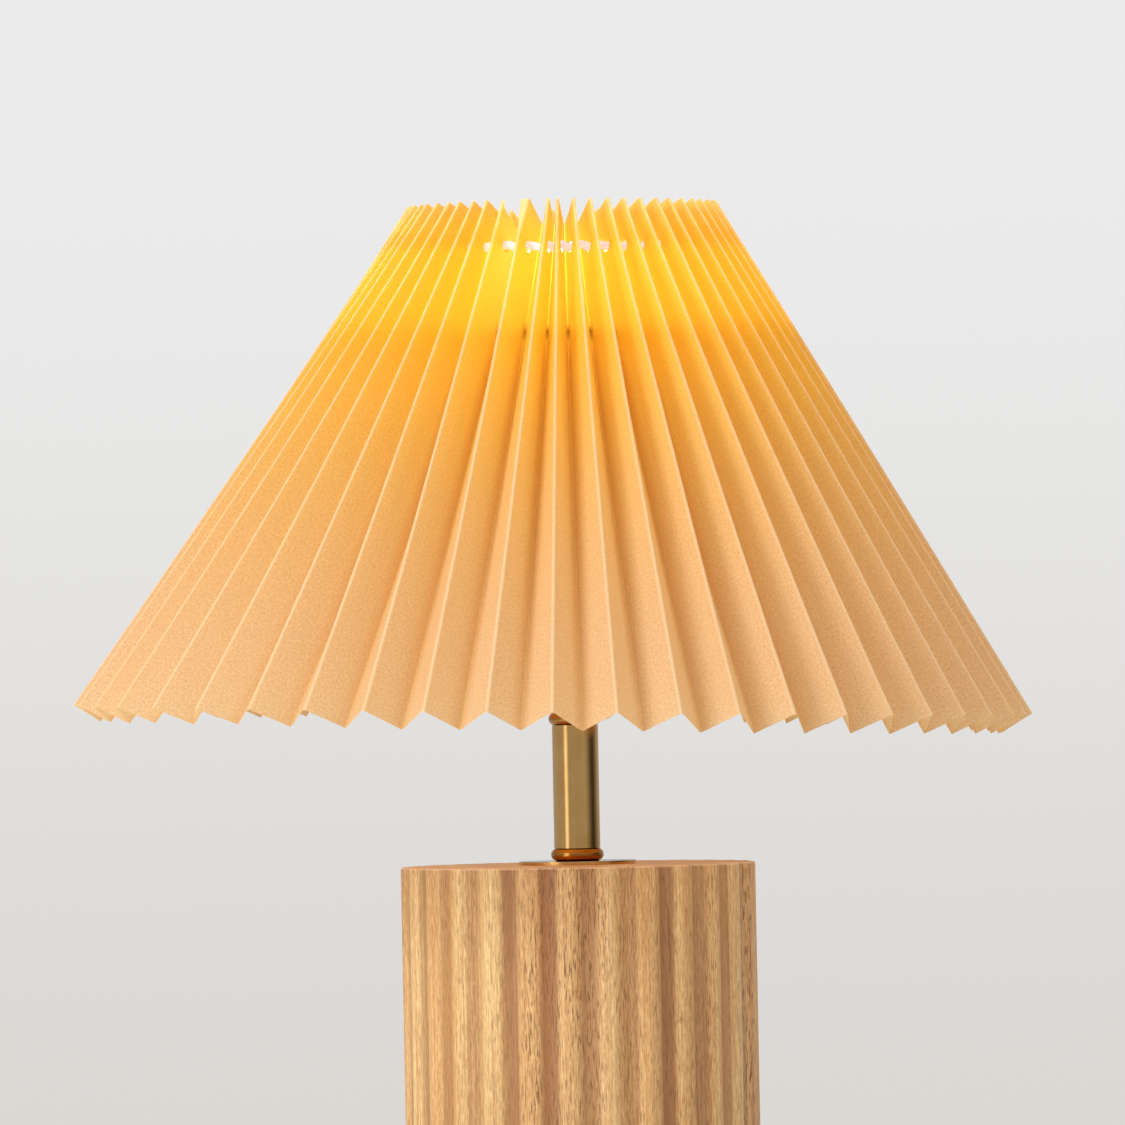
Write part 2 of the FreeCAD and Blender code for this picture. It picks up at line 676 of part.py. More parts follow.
def sheet_piece(first, count):
    """The sheet between two folds, as a closed thin solid."""
    faces = []
    for k in range(first, first + count):
        near = [[fold_point(k, step, skin) for step in range(SHEET_STEPS + 1)] for skin in (-1, 1)]
        far = [[fold_point(k + 1, step, skin) for step in range(SHEET_STEPS + 1)] for skin in (-1, 1)]
        for a, b in zip(near, far):
            for step in range(SHEET_STEPS):
                faces += triangles(a[step], b[step], b[step + 1], a[step + 1])
        for end in (0, SHEET_STEPS):
            faces += triangles(near[0][end], far[0][end], far[1][end], near[1][end])
    for k in (first, first + count):
        for step in range(SHEET_STEPS):
            inner, outer = [[fold_point(k, step + s, skin) for s in (0, 1)] for skin in (-1, 1)]
            faces += triangles(inner[0], outer[0], outer[1], inner[1])
    piece = Part.Solid(Part.Shell(faces))
    if piece.Volume < 0:
        piece.reverse()
    return piece


def string_ring(radius):
    ring_radius, height = string_place()
    return Part.makeTorus(ring_radius, radius, Vector(0, 0, height))


def shade_sheet():
    """One pleated sheet, stored as abutting pieces, with a punched hole in each panel for the drawstring."""
    total, folds = 2 * PLEAT_COUNT, 2 * PLEATS_PER_PIECE
    holes = string_ring(STRING_RADIUS + AIR)
    pieces = [sheet_piece(k, min(folds, total - k)).cut(holes) for k in range(0, total, folds)]
    return Part.makeCompound([solid for piece in pieces for solid in piece.Solids])


def drawstring():
    return string_ring(STRING_RADIUS)


def drawstring_knot():
    """The knot behind the sheet, where the string's two ends come out of one pleat and hang down."""
    ring_radius, height = string_place()
    knot_radius = fold_place(0, True, -1)[0] - KNOT_INSET
    back = Vector(0, 1, 0)
    centre = back * knot_radius + UP * height
    knot = Part.makeCylinder(KNOT_RADIUS, KNOT_DEPTH, centre - back * (KNOT_DEPTH / 2), back)
    rims = [e for e in knot.Edges if e.Curve.TypeId == "Part::GeomCircle"]
    knot = knot.makeFillet(KNOT_DEPTH * KNOT_ROUND, rims)
    reach = ring_radius - STRING_RADIUS + LINK_LAP - knot_radius
    knot = knot.fuse(Part.makeCylinder(LINK_RADIUS, reach, centre, back))
    for side in (-1, 1):
        lean = Vector(side * KNOT_SPREAD, 0, -1)
        start = centre + Vector(side * KNOT_RADIUS / 2, 0, 0)
        knot = knot.fuse(Part.makeCylinder(STRING_RADIUS, KNOT_TAIL, start, lean))
    return knot.removeSplitter()


# --- bulb -------------------------------------------------------------------------------------
def bulb_dome():
    """The light-coloured diffuser: most of a ball, open below."""
    middle, inner = (0.0, BULB_MIDDLE), BULB_RADIUS - BULB_WALL
    return lathe([
        (inner, DOME_FOOT),
        (BULB_RADIUS, DOME_FOOT),
        (BULB_RADIUS, BULB_MIDDLE),
        (*arc_point(middle, BULB_RADIUS, 45), 0.0, BULB_MIDDLE + BULB_RADIUS),
        (0.0, BULB_MIDDLE + inner),
        (*arc_point(middle, inner, 45), inner, BULB_MIDDLE),
    ])


def bulb_housing():
    """The opaque body between the screw cap and the dome, hollow for the driver."""
    neck, spigot = BULB_CAP_RADIUS + BULB_THREAD_DEPTH, BULB_CAP_BORE - FIT
    board = DOME_FOOT - LED_BOARD_THICKNESS
    swell = neck + (BULB_RADIUS - neck) * HOUSING_BULGE[0]
    rise = BULB_CAP_TOP + (DOME_FOOT - BULB_CAP_TOP) * HOUSING_BULGE[1]
    return lathe([
        (spigot - BULB_WALL, BULB_CAP_TOP - 2 * BULB_THREAD_PITCH),
        (spigot, BULB_CAP_TOP - 2 * BULB_THREAD_PITCH),
        (spigot, BULB_CAP_TOP),
        (neck, BULB_CAP_TOP),
        (swell, rise, BULB_RADIUS, DOME_FOOT),
        (BULB_RADIUS - BULB_WALL, DOME_FOOT),
        (BULB_RADIUS - BULB_WALL, board),
        (swell - 2 * BULB_WALL, rise, spigot - BULB_WALL, BULB_CAP_TOP),
    ])


def led_board():
    return disc(BULB_RADIUS - BULB_WALL - SLIP, DOME_FOOT - LED_BOARD_THICKNESS, DOME_FOOT)


def led_chips():
    return Part.makeCompound(around(box(LED_SIZE, LED_CIRCLE, 0, DOME_FOOT), LED_COUNT))


def driver_board():
    width = 2 * (BULB_CAP_BORE - 2 * BULB_WALL)
    foot = BULB_CAP_TOP - BULB_THREAD_PITCH
    return box((width, LED_BOARD_THICKNESS, DOME_FOOT - LED_BOARD_THICKNESS - SLIP - foot), 0, 0, foot)


def bulb_cap():
    """The screw cap's thin shell, its thread drawn as rings."""
    root = BULB_CAP_RADIUS - BULB_THREAD_DEPTH
    foot = BULB_CAP_FOOT + CAP_SHOULDER
    outline = [(TIP_RADIUS + CAP_SHOULDER, BULB_CAP_FOOT), (root, foot)]
    for k in range(BULB_THREADS):
        low = foot + k * BULB_THREAD_PITCH
        outline.append((BULB_CAP_RADIUS, low + BULB_THREAD_PITCH / 2, root, low + BULB_THREAD_PITCH))
    return lathe([
        (TIP_RADIUS + CAP_SHOULDER - (root - BULB_CAP_BORE), BULB_CAP_FOOT),
        *outline,
        (root, BULB_CAP_TOP),
        (BULB_CAP_BORE, BULB_CAP_TOP),
        (BULB_CAP_BORE, foot),
    ])


def cap_insulator():
    """The dark glass ring between the cap and its tip."""
    wide = TIP_RADIUS + CAP_SHOULDER - (BULB_CAP_RADIUS - BULB_THREAD_DEPTH - BULB_CAP_BORE)
    foot = BULB_TIP + TIP_HEIGHT
    return lathe([(0, foot), (TIP_RADIUS, foot), (wide, BULB_CAP_FOOT), (0, BULB_CAP_FOOT)])


def cap_contact():
    top = BULB_TIP + TIP_HEIGHT
    bulge = (TIP_RADIUS * TIP_BULGE[0], BULB_TIP + TIP_HEIGHT * TIP_BULGE[1])
    return lathe([(0, BULB_TIP), (*bulge, TIP_RADIUS, top), (0, top)])


PARTS = {
    "foot_pad": foot_pad,
    "bottom_cover": bottom_cover,
    "cover_screws": cover_screws,
    "base_body": base_body,
    "cord_bush": cord_bush,
    "weight_plate": weight_plate,
    "rod_washer": rod_washer,
    "rod_nut": rod_nut,
    "threaded_rod": threaded_rod,
    "terminal_block": terminal_block,
    "block_screw": block_screw,
    "lead_live": lead_live,
    "lead_neutral": lead_neutral,
    "top_disc": top_disc,
    "lower_collar": lower_collar,
    "stem_tube": stem_tube,
    "upper_collar": upper_collar,
    "neck_sleeve": neck_sleeve,
    "holder_cap": holder_cap,
    "holder_skirt": holder_skirt,
    "contact_block": contact_block,
    "terminal_screws": terminal_screws,
    "screw_shell": screw_shell,
    "centre_contact": centre_contact,
    "side_contact": side_contact,
    "carrier_hub": carrier_hub,
    "carrier_spokes": carrier_spokes,
    "carrier_ring": carrier_ring,
    "ring_washer": ring_washer,
    "shade_ring": shade_ring,
    "shade_sheet": shade_sheet,
    "drawstring": drawstring,
    "drawstring_knot": drawstring_knot,
    "bulb_dome": bulb_dome,
    "bulb_housing": bulb_housing,
    "led_board": led_board,
    "led_chips": led_chips,
    "driver_board": driver_board,
    "bulb_cap": bulb_cap,
    "cap_insulator": cap_insulator,
    "cap_contact": cap_contact,
}


def main():
    os.makedirs("parts", exist_ok=True)
    for name, make in PARTS.items():
        shape = make()
        solids = len(shape.Solids)
        bounds = shape.BoundBox
        print(f"{name}: {solids} solid(s), {shape.Volume:.0f} mm3, valid {shape.isValid()}, "
              f"z {bounds.ZMin:.2f} to {bounds.ZMax:.2f}, r {max(bounds.XMax, bounds.YMax):.2f}")
        shape.exportStep(f"parts/{name}.step")


main()
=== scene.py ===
"""Looks of a table lamp with a pleated shade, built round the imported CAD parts.

Metres, +Z up, the origin on the table under the middle of the base, and -Y towards the front.
Angles round the shade are in degrees, 0 at the front and positive towards +X.
"""

import bpy
import json
from math import asin, cos, exp, pi, radians, sin, sqrt, tan, tau
from mathutils import Matrix, Vector, noise


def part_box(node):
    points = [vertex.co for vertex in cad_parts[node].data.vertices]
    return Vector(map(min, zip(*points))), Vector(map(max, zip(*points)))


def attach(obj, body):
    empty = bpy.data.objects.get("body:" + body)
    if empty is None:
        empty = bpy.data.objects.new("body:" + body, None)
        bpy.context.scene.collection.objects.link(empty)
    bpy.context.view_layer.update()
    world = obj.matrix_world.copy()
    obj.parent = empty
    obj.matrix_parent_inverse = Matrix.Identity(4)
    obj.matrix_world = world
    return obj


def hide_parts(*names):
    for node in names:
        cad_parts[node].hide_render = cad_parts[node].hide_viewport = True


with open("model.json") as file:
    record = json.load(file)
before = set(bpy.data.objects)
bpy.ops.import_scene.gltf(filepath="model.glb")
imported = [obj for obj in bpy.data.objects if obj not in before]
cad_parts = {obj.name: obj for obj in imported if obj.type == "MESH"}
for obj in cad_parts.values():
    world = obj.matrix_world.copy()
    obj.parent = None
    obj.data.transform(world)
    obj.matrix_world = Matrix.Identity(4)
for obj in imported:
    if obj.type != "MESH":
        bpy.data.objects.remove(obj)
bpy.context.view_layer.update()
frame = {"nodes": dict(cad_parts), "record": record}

# --- the camera -------------------------------------------------------------------------------
CAMERA_DISTANCE = 4.0
CAMERA_HEIGHT = 0.2213
CAMERA_X = -0.0031
CAMERA_PITCH = 0.42             # degrees upwards
CAMERA_ROLL = -1.1              # degrees; the lamp leans a little to the left in the picture
CAMERA_LENS = 384.0
CAMERA_SENSOR = 36.0

# --- the pleated sheet ------------------------------------------------------------------------
PLEATS = 50
PANEL_WIDTH = 0.015
PANEL_LENGTH = 0.2004
TOP_RADIUS = 0.0510             # at the outer folds, as is the rim's
RIM_RADIUS = 0.1591
CLEAR = 0.0004                  # how far the paper stands off the carrier's ring, beyond the CAD sheet
CREST_WIDTH = 0.0009            # the flattened edge of an outer fold
VALLEY_WIDTH = 0.0003
STRING_DOWN = 0.014             # the drawstring's distance from the sheet's top edge
HOLE_RADIUS = 0.0021
HOLE_GRID = 5                   # grid points across a hole
FOLD_COLUMNS = (0, 0.0005, 0.0014, 0.0028)      # grid lines on a panel, from its outer fold
VALLEY_COLUMNS = (0.0028, 0.0005, 0)            # and back from its inner fold
TOP_ROWS = (0, 0.0025, 0.005, 0.0075, 0.010)    # grid lines above the drawstring's holes, from the top edge
ROWS = 36                       # and below the holes
ROW_GROWTH = 1.15               # how much their spacing grows towards the rim
CREST_PROUD = 0.00015           # how far the middle of an outer fold's edge stands out
FOLD_WANDER = 0.0005            # how far an outer fold strays inwards or outwards
TOP_WANDER = 0.3                # degrees that it strays sideways at the top
RIM_WANDER = 0.16               # and at the rim
SWAY_TOP = -0.0007              # sideways shift of the shade's top and rim: it hangs a little crooked
SWAY_RIM = -0.0074
BACK_LIFT = 0.0030              # how much higher the rim hangs at the back
TILT_RIM = radians(1.6)         # the rim's slope, lower at +X
SEAM_FOLD = -2                  # the outer fold where the sheet's two ends overlap
SEAM_CREST = 0.0030             # that fold's width at the top edge
SEAM_SPREAD = 3.6               # degrees that the overlap pushes the folds left of it aside, at the top
SEAM_REACH = 3.5                # how many folds on that has faded
SEAM_LEANS = {-1: 1.9, 1: 3.3}  # degrees that the folds beside it lean to the right, at the top
BACK_TURN = 3.0                 # degrees that the folds at the back lean, at the top
LEFT_TURN = 1.1                 # degrees that the folds up to the overlap are turned to the left, at the top
RIGHT_TURN = 2.2                # and those past it
TOP_CROWDING = 6.9              # degrees that the folds are gathered towards the front, at the top
# Waves in the folds' spacing round the rim: how many in a turn, degrees, and where each starts.
RIM_CROWDING = ((1, 7.4, radians(45)), (1, -1.2, 0), (2, -0.8, 0))
RIM_BUNCH = 0.7                 # degrees that the folds left of the overlap lean towards it, at the rim
BUNCH_FROM_SEAM = -2            # the fold that leans most, counted from the overlap
BUNCH_REACH = 1.8               # how many folds each way that reaches
EDGE_DROP = 0.0036              # how much lower the uneven top edge is, beside the overlap
EDGE_WANDER = 0.0014
EDGE_START = 0.0012             # how far from the outer fold it reaches that depth

# --- the carrier's ring -----------------------------------------------------------------------
RING_WIRE = 0.0015
RING_CLEAR = RING_WIRE + 0.0004
RING_DENT = 0.18                # slope of the paper each side of the wire that it lies over
RING_DEPTH = 0.0080             # paper further in than this isn't touched
RING_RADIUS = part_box("carrier_ring")[1].x - RING_WIRE
RING_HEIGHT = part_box("carrier_ring")[1].z - RING_WIRE
RING_DOWN = 0.0437              # where the ring touches, down the sheet
RING_ROWS = (-0.006, -0.0025, 0, 0.0025, 0.006)     # the sheet's grid lines there
RING_ROWS_GAP = 0.008           # distance from the ring to the sheet's other grid lines

# --- the drawstring ---------------------------------------------------------------------------
STRING_SLOPE = 0.0006           # half the drop of each visible stretch, from left to right
STRING_RADIUS = 0.00135
STRING_LAY = 0.0042             # length of one turn of its strands
STRING_STEPS = 5                # points on each stretch between two holes
STRING_WANDER = 0.0004
ROPE_SIDES = 18
ROPE_STRANDS = 3
ROPE_SWELL = 0.10               # how far the strands stand out, as a share of the radius
KNOT_SIZE = 0.000936            # the knot's curve reaches three times as far from its middle
KNOT_STEPS = 96
TAIL_STEPS = 39
TAIL_FLARE = 0.15               # the share of a tail, at its end, that is frayed wider
LINK_STEPS = 9

# --- wood -------------------------------------------------------------------------------------
# Where each glued stave starts, as a share of a turn from the back, and how dark it is.
STAVES = ((0.12, 0.10), (0.31, 0.02), (0.435, 0.60), (0.535, 0.35), (0.692, 0.95), (0.80, 0.30), (0.91, 0.60))
FIRST_STAVE = 0.45              # how dark the one across the back is
FLUTE_VALLEY = 0.0574           # radii between which the flutes darken
FLUTE_CREST = 0.0588

# --- light ------------------------------------------------------------------------------------
BULB_STRENGTH = 6.4             # of the dome's emission
PAPER_GLOW = 0.16
AMBIENT = 0.45
KEY_POWER = 55.0
FILL_POWER = 16.0
SKY_POWER = 22.0
LIGHT_TARGET = (0, 0, 0.24)
FLOOR_RADIUS = 1.5
FLOOR_SIDES = 96
FLOOR_DROP = 0.0002             # how far below the foot pad it is, so that they don't share a face
HORIZON = 0.045                 # half the height, as a direction, over which the backdrop pales
# What metal mirrors is a plain studio: even walls, a soft window on the left and a dark side on the right.
# Turns and spreads are degrees round from the front, through the left.
ROOM_LEVEL = 0.5
WINDOW_TURN = 50
WINDOW_SPREAD = 15              # from its middle to where it has faded into the wall
WINDOW_LEVEL = 1.6
DARK_TURN = 270
DARK_SPREAD = 50
DARK_LEVEL = 0.06

SLOPE = asin((RIM_RADIUS - TOP_RADIUS) / PANEL_LENGTH)
BASE_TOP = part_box("base_body")[1].z
SHADE_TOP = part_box("shade_sheet")[1].z - 0.0021      # the CAD sheet's skin stands above its middle
RIM_DROP = PANEL_LENGTH * cos(SLOPE)
FOLDS = range(-(PLEATS // 2), PLEATS - PLEATS // 2)
HOLE_REACH = [HOLE_RADIUS * (2 * i / (HOLE_GRID - 1) - 1) for i in range(HOLE_GRID)]
HOLE_COLUMN = len(FOLD_COLUMNS)
HOLE_ROW = len(TOP_ROWS)


# --- mesh helpers -----------------------------------------------------------------------------
def mesh_object(name, points, faces, uvs=None, attributes=None):
    """A smooth mesh piece. uvs holds a pair for each point, and attributes a list of numbers for each name."""
    mesh = bpy.data.meshes.new(name)
    mesh.from_pydata([tuple(p) for p in points], [], faces)
    if uvs:
        layer = mesh.uv_layers.new(name="UVMap")
        for loop in mesh.loops:
            layer.data[loop.index].uv = uvs[loop.vertex_index]
    for key, values in (attributes or {}).items():
        attribute = mesh.attributes.new(key, "FLOAT", "POINT")
        attribute.data.foreach_set("value", values)
    for polygon in mesh.polygons:
        polygon.use_smooth = True
    mesh.validate()
    mesh.update()
    piece = bpy.data.objects.new(name, mesh)
    bpy.context.scene.collection.objects.link(piece)
    return piece


def rope(name, path, radius, closed):
    """A twisted cord along a path; radius is a number or one for each point."""
    count, sides = len(path), ROPE_SIDES
    radii = radius if isinstance(radius, list) else [radius] * count
    points, uvs, travelled = [], [], 0.0
    normal = None
    for i, p in enumerate(path):
        before = path[i - 1] if i or closed else p
        after = path[(i + 1) % count] if i + 1 < count or closed else p
        forward = (after - before).normalized()
        if normal is None:
            normal = forward.orthogonal().normalized()
        normal = (normal - forward * normal.dot(forward)).normalized()
        across = forward.cross(normal)
        travelled += (p - path[i - 1]).length if i else 0.0
        for j in range(sides):
            angle = tau * j / sides
            bulge = 1 + ROPE_SWELL * cos(ROPE_STRANDS * angle - tau * travelled / STRING_LAY)
            points.append(p + (normal * cos(angle) + across * sin(angle)) * radii[i] * bulge)
            uvs.append((j / sides, travelled))
    faces = []
    for i in range(count if closed else count - 1):
        for j in range(sides):
            a, b = i * sides, (i + 1) % count * sides
            faces.append((a + j, a + (j + 1) % sides, b + (j + 1) % sides, b + j))
    if not closed:
        faces.append(tuple(range(sides))[::-1])
        faces.append(tuple(range((count - 1) * sides, count * sides)))
    return mesh_object(name, points, faces, uvs)


def join(name, parts):
    """Several meshes as one piece."""
    with bpy.context.temp_override(active_object=parts[0], selected_editable_objects=parts):
        bpy.ops.object.join()
    parts[0].name = name
    return parts[0]


# --- the sheet's shape ------------------------------------------------------------------------
def irregular(k, salt):
    """A fixed irregularity from about -1 to 1 for each fold."""
    return noise.noise(Vector((3.7 * k, salt, 0.5))) * 1.8


def fold_angles(k):
    """Where outer fold k stands at the top edge and at the rim, in degrees. Fold 0 faces the front."""
    even = 360 * k / PLEATS
    turn = radians(even)
    rim = even + sum(size * (sin(n * turn + start) - sin(start)) for n, size, start in RIM_CROWDING)
    from_seam = k - SEAM_FOLD
    rim += RIM_BUNCH * exp(-((from_seam - BUNCH_FROM_SEAM) / BUNCH_REACH) ** 2)
    top = even - TOP_CROWDING * sin(turn) - BACK_TURN * ((1 - cos(turn)) / 2) ** 2
    top -= LEFT_TURN if from_seam <= 0 else RIGHT_TURN
    top += SEAM_LEANS.get(from_seam, 0)
    if from_seam < 0:
        top -= SEAM_SPREAD * exp((from_seam + 1) / SEAM_REACH)
    return top + TOP_WANDER * irregular(k, 1), rim + RIM_WANDER * irregular(k, 2)


def outer_fold(k, share):
    """A point on an outer fold, at a share of the way down."""
    k = (k + PLEATS // 2) % PLEATS - PLEATS // 2
    ends = []
    for angle, radius, drop, salt in zip(fold_angles(k), (TOP_RADIUS, RIM_RADIUS), (0, RIM_DROP), (3, 4)):
        radius += CLEAR + FOLD_WANDER * irregular(k, salt)
        turned = radians(angle)
        ends.append(Vector((radius * sin(turned), -radius * cos(turned), SHADE_TOP - drop)))
    return ends[0].lerp(ends[1], share)


def inner_fold(k, share):
    """A point on the inner fold after outer fold k. The panels keep their width, so it sets the depth."""
    a, b = outer_fold(k, share), outer_fold(k + 1, share)
    middle = (a + b) / 2
    depth = sqrt(PANEL_WIDTH ** 2 - (b - a).length_squared / 4)
    out = Vector((middle.x, middle.y, 0)).normalized()
    return middle - (out * cos(SLOPE) + Vector((0, 0, sin(SLOPE)))) * depth


def hang(p):
    """The crooked hang: the rim is shifted and tilted, while the ring keeps the sheet in place higher up."""
    share = (SHADE_TOP - p.z) / RIM_DROP
    behind = max(0, 1 + p.y / RIM_RADIUS) / 2
    lift = (BACK_LIFT * behind ** 3 - p.x * tan(TILT_RIM)) * max(share, 0)
    return over_ring(p + Vector((SWAY_TOP + (SWAY_RIM - SWAY_TOP) * share, 0, lift)))


def over_ring(p):
    """Where the paper would cut into the carrier's ring, it lies over it instead."""
    radius = sqrt(p.x * p.x + p.y * p.y)
    outward, upward = radius - RING_RADIUS, p.z - RING_HEIGHT
    above = outward * cos(SLOPE) + upward * sin(SLOPE)
    along = outward * sin(SLOPE) - upward * cos(SLOPE)
    push = RING_CLEAR - RING_DENT * abs(along) - above
    if push <= 0 or above < -RING_DEPTH:
        return p
    out = Vector((p.x / radius, p.y / radius, 0))
    return p + (out * cos(SLOPE) + Vector((0, 0, sin(SLOPE)))) * push


def crest_width(k, down):
    """Width of an outer fold's edge. It is wide at the top of the overlap, where two layers don't lie flat."""
    spread = max(0, 1 - down / STRING_DOWN) if k == SEAM_FOLD else 0
    return CREST_WIDTH + (SEAM_CREST - CREST_WIDTH) * spread


def panel_point(k, side, across, down):
    """A point on a panel. Side 0 is the panel right of outer fold k, side 1 the one left of fold k + 1."""
    share = down / PANEL_LENGTH
    crest_fold = k + side
    crest, valley = outer_fold(crest_fold, share), inner_fold(k, share)
    crest_round = Vector((-crest.y, crest.x, 0)).normalized() * (0.5 - side)
    valley_round = Vector((-valley.y, valley.x, 0)).normalized() * (0.5 - side)
    crest += crest_round * crest_width(crest_fold, down)
    valley -= valley_round * VALLEY_WIDTH
    return crest.lerp(valley, across / PANEL_WIDTH)


def edge_drop(k, side, across):
    """How much lower the uneven top edge of the panel beside the overlap is."""
    if (k, side) != (SEAM_FOLD - 1, 0):
        return 0.0
    depth = EDGE_DROP + EDGE_WANDER * noise.noise(Vector((across * 900, 0, 2.0)))
    return min(1, across / EDGE_START) * depth


def sheet_grid():
    """The grid's distances across a panel from its outer fold, and down the sheet from its top edge."""
    columns = [*FOLD_COLUMNS, *[PANEL_WIDTH / 2 + r for r in HOLE_REACH]]
    columns += [PANEL_WIDTH - back for back in VALLEY_COLUMNS]
    low = STRING_DOWN + HOLE_RADIUS
    rest = [low + (PANEL_LENGTH - low) * (i / ROWS) ** ROW_GROWTH for i in range(1, ROWS + 1)]
    rest = [down for down in rest if abs(down - RING_DOWN) > RING_ROWS_GAP]
    rest += [RING_DOWN + step for step in RING_ROWS]
    return columns, [*TOP_ROWS, *[STRING_DOWN + r for r in HOLE_REACH], *sorted(rest)]


def panel_line(k, side, column, columns, rows):
    """The points down one grid line of a panel. Round a hole, the grid's squares become circles."""
    line = []
    for r, down in enumerate(rows):
        across = columns[column]
        i, j = column - HOLE_COLUMN, r - HOLE_ROW
        if 0 <= i < HOLE_GRID and 0 <= j < HOLE_GRID:
            dx, dy = HOLE_REACH[i], HOLE_REACH[j]
            size = max(abs(dx), abs(dy))
            if size > 0:
                fit = size / sqrt(dx * dx + dy * dy)
                across, down = PANEL_WIDTH / 2 + dx * fit, STRING_DOWN + dy * fit
        if r < HOLE_ROW:
            down += edge_drop(k, side, across) * (1 - r / HOLE_ROW)
        line.append(panel_point(k, side, across, down))
    return line


def sheet_lines(columns, rows):
    """All lines down the sheet, as (points, distance along the strip, crease, single), and each hole's first.

    Crease marks the outer folds, and single the panel beside the overlap, which lets more light through.
    """
    lines, hole_starts, travelled = [], set(), 0.0
    for k in FOLDS:
        crest = [outer_fold(k, down / PANEL_LENGTH) for down in rows]
        crest = [p + Vector((p.x, p.y, 0)).normalized() * CREST_PROUD for p in crest]
        lines.append((crest, travelled, 1.0, 0.0))
        for side in (0, 1):
            order = list(range(len(columns)))
            if side:
                order.reverse()
            hole_starts.add(len(lines) + order.index(HOLE_COLUMN + (HOLE_GRID - 1) * side))
            single = 1.0 if (k, side) == (SEAM_FOLD - 1, 0) else 0.0
            for c in order:
                along = travelled + (PANEL_WIDTH - columns[c] if side else columns[c])
                crease = 1.0 if c == 0 else 0.0
                lines.append((panel_line(k, side, c, columns, rows), along, crease, single))
            travelled += PANEL_WIDTH
            if not side:
                valley = [inner_fold(k, down / PANEL_LENGTH) for down in rows]
                lines.append((valley, travelled, 0.0, 0.0))
    lines.append((lines[0][0], travelled, 1.0, 0.0))
    return lines, hole_starts


def pleated_sheet():
    """The shade: one sheet with its folds, the drawstring's holes and the overlap where its ends meet."""
    columns, rows = sheet_grid()
    lines, hole_starts = sheet_lines(columns, rows)
    count, cells = len(rows), HOLE_GRID - 1
    faces = []
    for c in range(len(lines) - 1):
        beside_hole = any(0 <= c - start < cells for start in hole_starts)
        for r in range(count - 1):
            if not (beside_hole and 0 <= r - HOLE_ROW < cells):
                a, b = c * count + r, (c + 1) * count + r
                faces.append((a, a + 1, b + 1, b))
    points = [hang(p) for line, *_ in lines for p in line]
    uvs = [(along, down) for _, along, _, _ in lines for down in rows]
    attributes = {
        "crease": [crease for _, _, crease, _ in lines for _ in rows],
        "single": [single for _, _, _, single in lines for _ in rows],
    }
    sheet = mesh_object("pleated_sheet", points, faces, uvs, attributes)
    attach(sheet, "shade")
    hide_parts("shade_sheet")
    sheet.data.materials.append(paper())


# --- the drawstring ---------------------------------------------------------------------------
def drawstring():
    """The cord that runs through every panel, in short straight stretches from hole to hole."""
    holes = []
    for k in FOLDS:
        for side in (0, 1):
            sag = -STRING_SLOPE if side == 0 else STRING_SLOPE
            holes.append(hang(panel_point(k, side, PANEL_WIDTH / 2, STRING_DOWN + sag)))
    path = []
    for i, p in enumerate(holes):
        before, after, later = holes[i - 1], holes[(i + 1) % len(holes)], holes[(i + 2) % len(holes)]
        for j in range(STRING_STEPS):
            t = j / STRING_STEPS
            curve = (
                p * 2 + (after - before) * t + (before * 2 - p * 5 + after * 4 - later) * t ** 2
                + (p * 3 - before - after * 3 + later) * t ** 3
            ) / 2
            wander = noise.noise(Vector((i + t, 0, 3.3))) * STRING_WANDER
            path.append(curve + Vector((0, 0, wander)))
    cord = rope("string", path, STRING_RADIUS, closed=True)
    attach(cord, "shade")
    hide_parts("drawstring")
    cord.data.materials.append(twisted_string())


def string_knot():
    """The knot inside the shade's back, with the string's two ends hanging from it."""
    low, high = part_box("drawstring_knot")
    place = Vector(((low.x + high.x) / 2, low.y + STRING_RADIUS * 2.4, high.z - STRING_RADIUS * 2.4))
    hole = hang(panel_point(FOLDS[0], 0, PANEL_WIDTH / 2, STRING_DOWN))
    loops = []
    for i in range(KNOT_STEPS):
        t = tau * i / KNOT_STEPS
        x = sin(t) + 2 * sin(2 * t)
        z = cos(t) - 2 * cos(2 * t)
        loops.append(place + Vector((x, -sin(3 * t) * 0.9, z)) * KNOT_SIZE)
    parts = [rope("knot_loops", loops, STRING_RADIUS * 0.85, closed=True)]
    length = place.z - low.z - STRING_RADIUS
    for side in (-1, 1):
        tail, radii = [], []
        for i in range(TAIL_STEPS + 1):
            t = i / TAIL_STEPS
            lean = side * (0.0014 + 0.0045 * t ** 1.4 + 0.0007 * sin(5 * t + side))
            tail.append(place + Vector((lean, -0.0006 * sin(3 * t), -length * t)))
            radii.append(STRING_RADIUS * (0.85 + 0.35 * max(0, t - (1 - TAIL_FLARE)) / TAIL_FLARE))
        parts.append(rope(f"tail_{side + 1}", tail, radii, closed=False))
        start = Vector((side * STRING_RADIUS * 0.5, hole.y - STRING_RADIUS * 0.6, hole.z))
        link = []
        for i in range(LINK_STEPS + 1):
            t = i / LINK_STEPS
            link.append(start.lerp(place, t) + Vector((0, 0, 0.0005 * sin(pi * t))))
        parts.append(rope(f"link_{side + 1}", link, STRING_RADIUS * 0.6, closed=False))
    knot = join("string_knot", parts)
    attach(knot, "shade")
    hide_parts("drawstring_knot")
    knot.data.materials.append(twisted_string())


